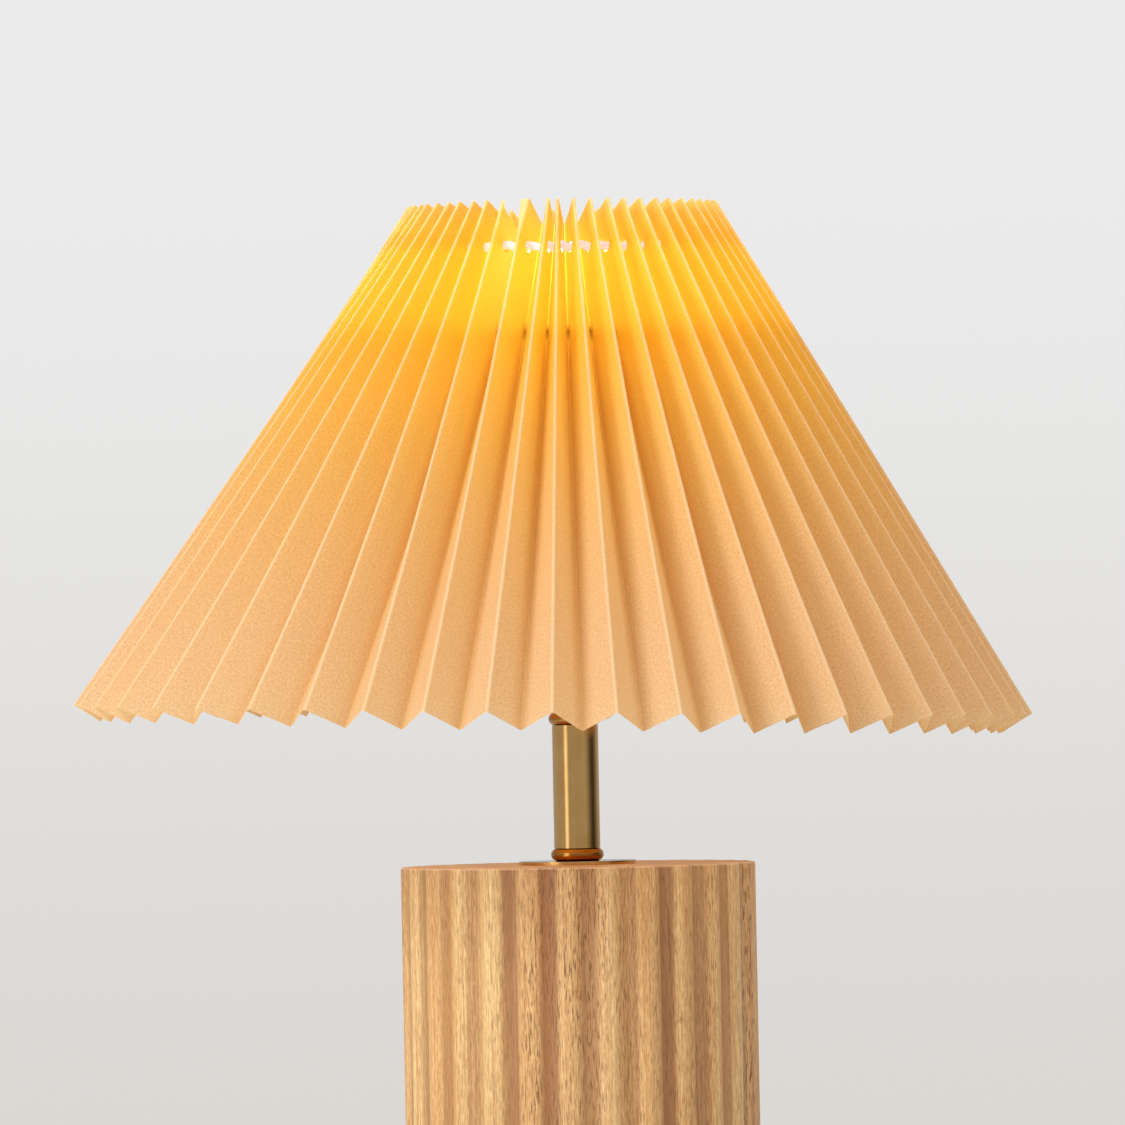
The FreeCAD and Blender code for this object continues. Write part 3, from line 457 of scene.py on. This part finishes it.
# --- materials --------------------------------------------------------------------------------
class Shader:
    """A material's nodes, built one at a time."""

    def __init__(self, name, rough, metallic=0.0):
        self.material = bpy.data.materials.new(name)
        self.material.use_nodes = True
        self.tree = self.material.node_tree
        self.bsdf = self.tree.nodes["Principled BSDF"]
        self.set(self.bsdf, {"Roughness": rough, "Metallic": metallic})

    def set(self, node, inputs):
        """Gives a node's inputs a value or a link each."""
        for key, value in inputs.items():
            socket = node.inputs[key]
            if isinstance(value, bpy.types.NodeSocket):
                self.tree.links.new(value, socket)
            else:
                socket.default_value = value

    def add(self, kind, inputs=None, **settings):
        """A new node with its settings and inputs."""
        node = self.tree.nodes.new("ShaderNode" + kind)
        for key, value in settings.items():
            setattr(node, key, value)
        self.set(node, inputs or {})
        return node

    def math(self, operation, a, b=0.0, clamp=False):
        node = self.add("Math", {0: a, 1: b}, operation=operation, use_clamp=clamp)
        return node.outputs[0]

    def scaled(self, place, scale):
        return self.add("Mapping", {"Vector": place, "Scale": scale}).outputs[0]

    def place(self, scale=(1, 1, 1)):
        """Coordinates on the object, scaled."""
        return self.scaled(self.add("TexCoord").outputs["Object"], scale)

    def noise(self, scale, detail=3.0, rough=0.5, where=None, distortion=0.0):
        inputs = {"Scale": scale, "Detail": detail, "Roughness": rough, "Distortion": distortion}
        inputs["Vector"] = where if where else self.place()
        return self.add("TexNoise", inputs).outputs[0]

    def spread(self, value, low, high, to_low=0.0, to_high=1.0):
        """A value's range from low to high, carried over to another."""
        inputs = {"Value": value, "From Min": low, "From Max": high, "To Min": to_low, "To Max": to_high}
        return self.add("MapRange", inputs).outputs[0]

    def mix(self, factor, a, b):
        """Colour a, turning into colour b as the factor goes from 0 to 1."""
        return self.add("Mix", {0: factor, 6: a, 7: b}, data_type="RGBA").outputs[2]

    def bump(self, height, strength, distance):
        node = self.add("Bump", {"Height": height, "Strength": strength, "Distance": distance})
        self.set(self.bsdf, {"Normal": node.outputs[0]})


def rgb(red, green, blue):
    """A colour given as it looks on a screen, from 0 to 255, in Blender's linear values."""
    def linear(value):
        value /= 255
        return value / 12.92 if value <= 0.04045 else ((value + 0.055) / 1.055) ** 2.4
    return (linear(red), linear(green), linear(blue), 1.0)


def moulded(name, colour, rough, grain, depth, mottle, metallic=0.0):
    """Plastic, ceramic or cast stock: fine grain, faint mottling and a little change in gloss."""
    s = Shader(name, rough, metallic)
    fine = s.noise(grain, 4)
    broad = s.noise(40, 3)
    darker = tuple(c * (1 - 3 * mottle) for c in colour[:3]) + (1,)
    s.set(s.bsdf, {"Base Color": s.mix(s.spread(broad, 0.35, 0.75), colour, darker)})
    s.set(s.bsdf, {"Roughness": s.spread(fine, 0.3, 0.7, max(rough - 0.06, 0.02), rough + 0.06)})
    s.bump(fine, 0.35, depth)
    return s.material


_made = {}


def once(make):
    """Makes each material once, however many pieces use it."""
    def wrapped():
        if make.__name__ not in _made:
            _made[make.__name__] = make()
        return _made[make.__name__]
    return wrapped


@once
def paper():
    """Peach paper, lit through: the glow is deep yellow near the bulb and fades down the sheet."""
    s = Shader("shade_paper", 0.62)
    uv = s.add("UVMap", uv_map="UVMap").outputs[0]
    u, down, _ = s.add("SeparateXYZ", {"Vector": uv}).outputs
    crease = s.add("Attribute", attribute_name="crease").outputs["Fac"]
    single = s.add("Attribute", attribute_name="single").outputs["Fac"]
    grain = s.noise(1.0, 3, 0.7, s.scaled(uv, (1150, 1150, 1)))
    cloud = s.noise(1.0, 2, 0.5, s.scaled(uv, (60, 14, 1)))
    grain = s.spread(grain, 0.32, 0.68)
    along = s.math("MODULO", u, 2 * PANEL_WIDTH)
    from_inner = s.math("ABSOLUTE", s.math("SUBTRACT", along, PANEL_WIDTH))
    near_bulb = s.math("POWER", s.spread(down, 0.050, 0.19, 1.0, 0.0), 2.0)
    near_edge = s.spread(down, 0.0, 0.016, 0.45, 0.0)
    glow = s.math("SUBTRACT", near_bulb, near_edge, clamp=True)
    below_ring = s.spread(down, RING_DOWN, RING_DOWN + 0.012)
    peach = s.mix(grain, rgb(255, 226, 188), rgb(218, 166, 116))
    peach = s.mix(s.spread(cloud, 0.35, 0.7, 0.0, 0.35), peach, rgb(240, 194, 142))
    lit = s.mix(grain, rgb(255, 228, 104), rgb(236, 192, 66))
    colour = s.mix(glow, peach, lit)
    # Painted shade in the grooves: below the ring, the paper turns deep orange within about 5 mm of each inner
    # fold, less so towards the rim.
    deep = s.spread(from_inner, 0.0, 0.0048, 1.0, 0.0)
    painted_groove_shade = s.math("MULTIPLY", deep, s.spread(down, 0.05, 0.19, 0.55, 0.2))
    colour = s.mix(s.math("MULTIPLY", painted_groove_shade, below_ring), colour, rgb(214, 132, 40))
    # Painted shadow of the carrier's ring: a dark brown spot on each inner fold where the ring touches it.
    at_ring = s.math("ABSOLUTE", s.math("SUBTRACT", down, RING_DOWN))
    at_ring = s.spread(at_ring, 0.0003, 0.0036, 0.75, 0.0)
    painted_ring_shadow = s.math("MULTIPLY", at_ring, s.spread(from_inner, 0.0, 0.0030, 1.0, 0.0))
    colour = s.mix(painted_ring_shadow, colour, rgb(142, 78, 18))
    shadow = s.math("ABSOLUTE", s.math("SUBTRACT", down, STRING_DOWN - 0.001))
    colour = s.mix(s.spread(shadow, 0.0015, 0.005, 0.3, 0.0), colour, rgb(238, 170, 70))
    # A pale yellow line along each inner fold: partly a whitened crease, partly painted glow; it fades down
    # the sheet.
    line = s.spread(from_inner, 0.0, 0.0004, 0.9, 0.0)
    line = s.math("MULTIPLY", line, s.spread(down, 0.06, 0.13, 1.0, 0.35))
    colour = s.mix(line, colour, rgb(255, 222, 96))
    colour = s.mix(s.math("MULTIPLY", crease, 0.8), colour, rgb(254, 226, 184))
    through = s.mix(glow, rgb(255, 222, 150), rgb(255, 226, 88))
    # The same painted groove shade in the light let through.
    through = s.mix(s.math("MULTIPLY", painted_groove_shade, below_ring), through, rgb(214, 124, 26))
    # The painted ring shadow in the light let through too.
    through = s.mix(painted_ring_shadow, through, rgb(170, 96, 18))
    through = s.mix(s.math("MULTIPLY", crease, 0.8), through, rgb(255, 212, 140))
    thin = s.math("MULTIPLY", single, s.spread(down, 0.02, 0.06, 1.0, 0.0))
    s.set(s.bsdf, {"Base Color": colour, "Specular IOR Level": 0.25})
    # Painted glow in the emission: yellow above the ring, deeper orange below it as painted shade, and dark at
    # the painted ring shadow.
    shine = s.mix(s.spread(down, RING_DOWN, RING_DOWN + 0.006), rgb(255, 216, 60), rgb(206, 136, 32))
    s.set(s.bsdf, {"Emission Color": s.mix(glow, rgb(0, 0, 0), s.mix(painted_ring_shadow, shine, rgb(60, 30, 0)))})
    s.set(s.bsdf, {"Emission Strength": PAPER_GLOW})
    s.bump(grain, 0.3, 0.00008)
    through = s.mix(s.math("MULTIPLY", thin, 0.6), through, rgb(255, 240, 150))
    light = s.add("BsdfTranslucent", {"Color": through})
    amount = s.math("ADD", s.spread(glow, 0, 1, 0.45, 0.58), s.math("MULTIPLY", thin, 0.12))
    blend = s.add("MixShader", {0: amount, 1: s.bsdf.outputs[0], 2: light.outputs[0]})
    s.set(s.tree.nodes["Material Output"], {"Surface": blend.outputs[0]})
    return s.material


@once
def twisted_string():
    """Soft white cord: fine fibres along the strands, and a painted glow in its emission."""
    s = Shader("string_fibre", 0.85)
    uv = s.add("UVMap", uv_map="UVMap").outputs[0]
    fibres = s.noise(1.0, 4, 0.6, s.scaled(uv, (26, 500, 1)))
    s.set(s.bsdf, {"Base Color": s.mix(s.spread(fibres, 0.3, 0.7), rgb(240, 234, 236), rgb(206, 190, 192))})
    s.set(s.bsdf, {"Sheen Weight": 0.4, "Sheen Roughness": 0.5})
    # Painted glow: the cord gives a little light of its own.
    string_painted_glow = s.mix(s.spread(fibres, 0.35, 0.65), rgb(255, 240, 255), rgb(230, 180, 200))
    s.set(s.bsdf, {"Emission Color": string_painted_glow, "Emission Strength": 0.48})
    s.bump(fibres, 0.6, 0.00015)
    return s.material


@once
def oiled_wood():
    """Light open-grained wood, glued up from staves: upright fibres, brown pores, flutes darkened by stain and
    painted shade.
    """
    s = Shader("oiled_wood", 0.45)
    here = s.add("TexCoord").outputs["Object"]
    x, y, z = s.add("SeparateXYZ", {"Vector": here}).outputs
    turn = s.spread(s.math("ARCTAN2", x, s.math("MULTIPLY", y, -1)), -pi, pi)
    tones = s.add("ValToRGB", {"Fac": turn})
    tones.color_ramp.interpolation = "CONSTANT"
    stops = tones.color_ramp.elements
    while len(stops) < len(STAVES) + 1:
        stops.new(1.0)
    for stop, (start, tone) in zip(stops, ((0, FIRST_STAVE), *STAVES)):
        stop.position = start
        stop.color = (tone, tone, tone, 1)
    stave = tones.outputs[0]
    radius = s.math("SQRT", s.math("ADD", s.math("MULTIPLY", x, x), s.math("MULTIPLY", y, y)))
    flute = s.math("POWER", s.spread(radius, FLUTE_VALLEY, FLUTE_CREST, 1.0, 0.0), 2.6)
    shift = s.math("MULTIPLY", stave, 40.0)

    def grain(across, along, detail, rough, distortion=0.0):
        """Noise stretched along the fibres, and shifted so that it differs from stave to stave."""
        parts = {"X": s.math("ADD", s.math("MULTIPLY", x, across), shift), "Y": s.math("MULTIPLY", y, across)}
        parts["Z"] = s.math("MULTIPLY", z, along)
        return s.noise(1.0, detail, rough, s.add("CombineXYZ", parts).outputs[0], distortion)

    bands = grain(75, 1.6, 2, 0.5, 0.5)
    stripes = grain(300, 2.5, 3, 0.6, 0.2)
    fibres = grain(1500, 20, 4, 0.75)
    flecks = grain(3000, 300, 3, 0.7)
    pores = grain(2300, 210, 2, 0.5)
    patch = grain(110, 7, 3, 0.6)
    colour = s.mix(s.spread(bands, 0.40, 0.60), rgb(255, 224, 160), rgb(236, 190, 124))
    colour = s.mix(s.math("MULTIPLY", stave, 0.6), colour, rgb(208, 152, 100))
    colour = s.mix(s.spread(stripes, 0.54, 0.68, 0, 0.75), colour, rgb(186, 130, 76))
    colour = s.mix(s.spread(stripes, 0.32, 0.44, 0.55, 0), colour, rgb(248, 220, 158))
    colour = s.mix(s.spread(fibres, 0.36, 0.62, 0, 0.6), colour, rgb(188, 130, 74))
    colour = s.mix(s.spread(flecks, 0.42, 0.62, 0, 0.34), colour, rgb(172, 112, 56))
    colour = s.mix(s.spread(flecks, 0.36, 0.52, 0.3, 0), colour, rgb(255, 230, 176))
    # Darker in the flutes' valleys: partly stain gathered there, partly painted shade.
    flute_stain_and_shade = s.math("MULTIPLY", flute, s.spread(grain(34, 1, 1, 0.5), 0.40, 0.60, 0.3, 0.8))
    colour = s.mix(flute_stain_and_shade, colour, rgb(150, 94, 52))
    # Painted highlight: the top face and its rounded edge are paler.
    face = s.spread(z, BASE_TOP - 0.0008, BASE_TOP - 0.0002)
    colour = s.mix(s.math("MULTIPLY", face, 0.65), colour, rgb(255, 232, 206))
    pore = s.math("MULTIPLY", s.spread(pores, 0.56, 0.60), s.spread(patch, 0.34, 0.52))
    pore = s.math("MULTIPLY", pore, s.spread(stave, 0.1, 0.75, 0.4, 1.0))
    colour = s.mix(s.math("MULTIPLY", pore, 0.85), colour, rgb(118, 68, 34))
    s.set(s.bsdf, {"Base Color": colour, "Roughness": s.spread(fibres, 0.3, 0.7, 0.36, 0.52)})
    s.bump(s.math("SUBTRACT", s.math("MULTIPLY", fibres, 0.3), pore), 0.35, 0.00025)
    return s.material


@once
def satin_brass():
    """Brass with a satin polish: faint turning marks, a little tarnish."""
    s = Shader("satin_brass", 0.26, 1.0)
    lines = s.noise(1.0, 3, 0.6, s.place((60, 60, 4200)))
    streaks = s.noise(1.0, 3, 0.6, s.place((420, 420, 6)))
    tarnish = s.noise(55, 4, 0.6)
    colour = s.mix(s.spread(tarnish, 0.35, 0.75), rgb(224, 180, 116), rgb(200, 150, 84))
    colour = s.mix(s.spread(streaks, 0.45, 0.75, 0, 0.5), colour, rgb(170, 124, 66))
    s.set(s.bsdf, {"Base Color": colour, "Roughness": s.spread(streaks, 0.3, 0.7, 0.05, 0.10)})
    s.bump(lines, 0.04, 0.00002)
    return s.material


@once
def shaded_collar_brass():
    """The collars' polished brass, painted darker than the stem's as shade, a little browner in patches."""
    s = Shader("shaded_collar_brass", 0.1, 1.0)
    patches = s.noise(160, 3)
    wear = s.noise(900, 3, 0.6)
    colour = s.mix(s.spread(patches, 0.3, 0.7), rgb(186, 138, 74), rgb(160, 112, 56))
    s.set(s.bsdf, {"Base Color": colour, "Roughness": s.spread(wear, 0.3, 0.7, 0.08, 0.16)})
    s.bump(wear, 0.03, 0.00002)
    return s.material


@once
def plated_steel():
    return moulded("plated_steel", rgb(196, 198, 198), 0.3, 1400, 0.00002, 0.05, 1.0)


@once
def bright_nickel():
    return moulded("bright_nickel", rgb(214, 206, 190), 0.16, 900, 0.00001, 0.04, 1.0)


@once
def contact_brass():
    return moulded("contact_brass", rgb(214, 170, 90), 0.28, 900, 0.00002, 0.06, 1.0)


@once
def cap_aluminium():
    return moulded("cap_aluminium", rgb(206, 206, 202), 0.3, 1100, 0.00002, 0.04, 1.0)


@once
def white_plastic():
    return moulded("white_plastic", rgb(232, 230, 222), 0.42, 1200, 0.00003, 0.02)


@once
def bulb_plastic():
    return moulded("bulb_plastic", rgb(236, 236, 232), 0.32, 1500, 0.00002, 0.015)


@once
def carrier_paint():
    return moulded("carrier_paint", rgb(232, 230, 224), 0.34, 420, 0.00006, 0.03)


@once
def ceramic():
    return moulded("ceramic", rgb(228, 223, 210), 0.55, 700, 0.00006, 0.04)


@once
def black_glass():
    return moulded("black_glass", rgb(26, 24, 28), 0.12, 500, 0.00001, 0.05)


@once
def cast_iron():
    return moulded("cast_iron", rgb(70, 70, 72), 0.6, 260, 0.0004, 0.12, 0.7)


@once
def black_rubber():
    return moulded("black_rubber", rgb(34, 33, 32), 0.72, 800, 0.00008, 0.08)


@once
def brown_insulation():
    return moulded("brown_insulation", rgb(112, 66, 36), 0.38, 900, 0.00003, 0.05)


@once
def blue_insulation():
    return moulded("blue_insulation", rgb(52, 92, 168), 0.38, 900, 0.00003, 0.05)


@once
def circuit_green():
    return moulded("circuit_green", rgb(42, 110, 62), 0.35, 600, 0.00004, 0.10)


@once
def felt():
    """Dark felt: matted fibres that catch the light at a slant."""
    s = Shader("felt", 0.95)
    fibres = s.noise(1400, 5, 0.75, distortion=1.5)
    s.set(s.bsdf, {"Base Color": s.mix(fibres, rgb(40, 37, 34), rgb(84, 78, 72))})
    s.set(s.bsdf, {"Sheen Weight": 0.5, "Sheen Roughness": 0.6})
    s.bump(fibres, 0.9, 0.0004)
    return s.material


@once
def fibreboard():
    """Raw brown fibreboard: short fibres at random."""
    s = Shader("fibreboard", 0.85)
    fibres = s.noise(1.0, 5, 0.7, s.place((700, 260, 500)), 2.0)
    s.set(s.bsdf, {"Base Color": s.mix(s.spread(fibres, 0.3, 0.7), rgb(174, 138, 98), rgb(136, 100, 64))})
    s.bump(fibres, 0.5, 0.0001)
    return s.material


def lit(name, colour, strength, pale):
    """A surface that gives light, a little stronger in its middle parts."""
    s = Shader(name, 0.4)
    cloud = s.noise(30, 2)
    s.set(s.bsdf, {"Base Color": pale, "Emission Color": s.mix(cloud, colour, pale)})
    s.set(s.bsdf, {"Emission Strength": strength})
    s.bump(s.noise(900, 3), 0.1, 0.00002)
    return s.material


@once
def opal_dome():
    return lit("opal_dome", rgb(255, 232, 190), BULB_STRENGTH, rgb(255, 240, 214))


@once
def led_phosphor():
    return lit("led_phosphor", rgb(255, 208, 110), 2.0, rgb(250, 214, 96))


FINISHES = {
    "felt": felt,
    "fibreboard": fibreboard,
    "steel": plated_steel,
    "wood": oiled_wood,
    "rubber": black_rubber,
    "iron": cast_iron,
    "terminal_plastic": white_plastic,
    "brown_insulation": brown_insulation,
    "blue_insulation": blue_insulation,
    "brass": satin_brass,
    "holder_plastic": white_plastic,
    "ceramic": ceramic,
    "nickel": bright_nickel,
    "contact_brass": contact_brass,
    "carrier_paint": carrier_paint,
    "shade_paper": paper,
    "string": twisted_string,
    "bulb_diffuser": opal_dome,
    "bulb_plastic": bulb_plastic,
    "board_metal": cap_aluminium,
    "led_phosphor": led_phosphor,
    "circuit_board": circuit_green,
    "cap_metal": cap_aluminium,
    "black_glass": black_glass,
}
# The collars get a darker copy of the brass: painted shade.
NODE_FINISHES = {"lower_collar": shaded_collar_brass, "upper_collar": shaded_collar_brass}


def finish_cad_nodes():
    """Gives each CAD node its own finish, or the one of its slot in the record."""
    for part in frame["record"]["subparts"]:
        node = frame["nodes"][part["node"]]
        node.data.materials.clear()
        node.data.materials.append(NODE_FINISHES.get(part["node"], FINISHES[part["material_slot"]])())


# --- surroundings -----------------------------------------------------------------------------
def floor():
    """A round pale floor, too small to reach into the picture behind the base."""
    turns = [tau * i / FLOOR_SIDES for i in range(FLOOR_SIDES)]
    points = [(0, 0, 0)] + [(FLOOR_RADIUS * cos(turn), FLOOR_RADIUS * sin(turn), 0) for turn in turns]
    faces = [(0, i + 1, (i + 1) % FLOOR_SIDES + 1) for i in range(FLOOR_SIDES)]
    piece = mesh_object("floor", points, faces)
    piece.location.z = -FLOOR_DROP
    s = Shader("floor_paint", 0.7)
    s.set(s.bsdf, {"Base Color": s.mix(s.noise(6, 3), rgb(226, 224, 220), rgb(218, 215, 210))})
    s.bump(s.noise(120, 3), 0.05, 0.001)
    piece.data.materials.append(s.material)


def area_light(name, place, side, power, colour, mirrored=True):
    """A soft square light that faces the lamp; mirrored says whether polished metal shows it."""
    light = bpy.data.lights.new(name, "AREA")
    light.shape = "RECTANGLE"
    light.size = light.size_y = side
    light.energy = power
    light.color = colour
    lamp = bpy.data.objects.new(name, light)
    lamp.location = place
    lamp.visible_glossy = mirrored
    lamp.rotation_euler = (Vector(LIGHT_TARGET) - Vector(place)).to_track_quat("-Z", "Y").to_euler()
    bpy.context.scene.collection.objects.link(lamp)


def ramp(tree, value, low, high, *stops):
    """A colour ramp over a range of values, its stops given as (position, grey or colour)."""
    spread = tree.nodes.new("ShaderNodeMapRange")
    tree.links.new(value, spread.inputs["Value"])
    spread.inputs["From Min"].default_value, spread.inputs["From Max"].default_value = low, high
    node = tree.nodes.new("ShaderNodeValToRGB")
    tree.links.new(spread.outputs[0], node.inputs[0])
    node.color_ramp.interpolation = "EASE"
    elements = node.color_ramp.elements
    while len(elements) < len(stops):
        elements.new(0.5)
    for element, (position, colour) in zip(elements, stops):
        element.position = position
        element.color = colour if isinstance(colour, tuple) else (colour, colour, colour, 1)
    return node.outputs[0]


def studio_room(tree, turn):
    """What metal mirrors, by direction round the lamp: even walls, the window and the dark side."""
    stops = [(0, ROOM_LEVEL)]
    for middle, spread, level in (
        (WINDOW_TURN, WINDOW_SPREAD, WINDOW_LEVEL),
        (DARK_TURN, DARK_SPREAD, DARK_LEVEL),
    ):
        stops.append(((middle - spread) / 360, ROOM_LEVEL))
        stops.append((middle / 360, level))
        stops.append(((middle + spread) / 360, ROOM_LEVEL))
    stops.append((1, ROOM_LEVEL))
    return ramp(tree, turn, -pi, pi, *stops)


def background_node(tree, strength):
    node = tree.nodes.new("ShaderNodeBackground")
    node.inputs[1].default_value = strength
    return node


def backdrop():
    """Pale grey to the eye, an even cool light on the lamp, and a plain studio in what metal mirrors."""
    world = bpy.data.worlds.new("backdrop")
    bpy.context.scene.world = world
    world.use_nodes = True
    tree = world.node_tree
    direction = tree.nodes.new("ShaderNodeTexCoord").outputs["Generated"]
    split = tree.nodes.new("ShaderNodeSeparateXYZ")
    tree.links.new(direction, split.inputs[0])
    east, north, height = split.outputs
    turned = tree.nodes.new("ShaderNodeMath")
    turned.operation = "ARCTAN2"
    tree.links.new(east, turned.inputs[0])
    tree.links.new(north, turned.inputs[1])
    seen = ramp(tree, height, -HORIZON, HORIZON, (0, rgb(219, 216, 212)), (1, rgb(235, 235, 235)))
    room = studio_room(tree, turned.outputs[0])
    path = tree.nodes.new("ShaderNodeLightPath")
    ambient = background_node(tree, AMBIENT)
    ambient.inputs[0].default_value = (0.95, 0.97, 1, 1)
    shown = ambient.outputs[0]
    for ray, colour in (("Is Glossy Ray", room), ("Is Camera Ray", seen)):
        sky = background_node(tree, 1.0)
        tree.links.new(colour, sky.inputs[0])
        mix = tree.nodes.new("ShaderNodeMixShader")
        tree.links.new(path.outputs[ray], mix.inputs[0])
        tree.links.new(shown, mix.inputs[1])
        tree.links.new(sky.outputs[0], mix.inputs[2])
        shown = mix.outputs[0]
    tree.links.new(shown, tree.nodes["World Output"].inputs[0])


def camera():
    """A long lens far in front of the lamp, level with its shade."""
    data = bpy.data.cameras.new("camera")
    data.sensor_width = CAMERA_SENSOR
    data.lens = CAMERA_LENS
    data.clip_end = 50
    view = bpy.data.objects.new("camera", data)
    turn = Matrix.Rotation(radians(90 + CAMERA_PITCH), 4, "X") @ Matrix.Rotation(radians(CAMERA_ROLL), 4, "Z")
    view.matrix_world = Matrix.Translation((CAMERA_X, -CAMERA_DISTANCE, CAMERA_HEIGHT)) @ turn
    bpy.context.scene.collection.objects.link(view)
    bpy.context.scene.camera = view


bpy.context.scene.view_settings.view_transform = "Standard"
camera()
backdrop()
floor()
area_light("key", place=(-1.9, -1.6, 1.5), side=1.3, power=KEY_POWER, colour=(1, 0.985, 0.96))
area_light("fill", place=(2.2, -1.8, 0.9), side=1.6, power=FILL_POWER, colour=(0.97, 0.985, 1),
           mirrored=False)
area_light("sky", place=(0, 0.2, 2.4), side=2.0, power=SKY_POWER, colour=(1, 1, 1))
finish_cad_nodes()
pleated_sheet()
drawstring()
string_knot()
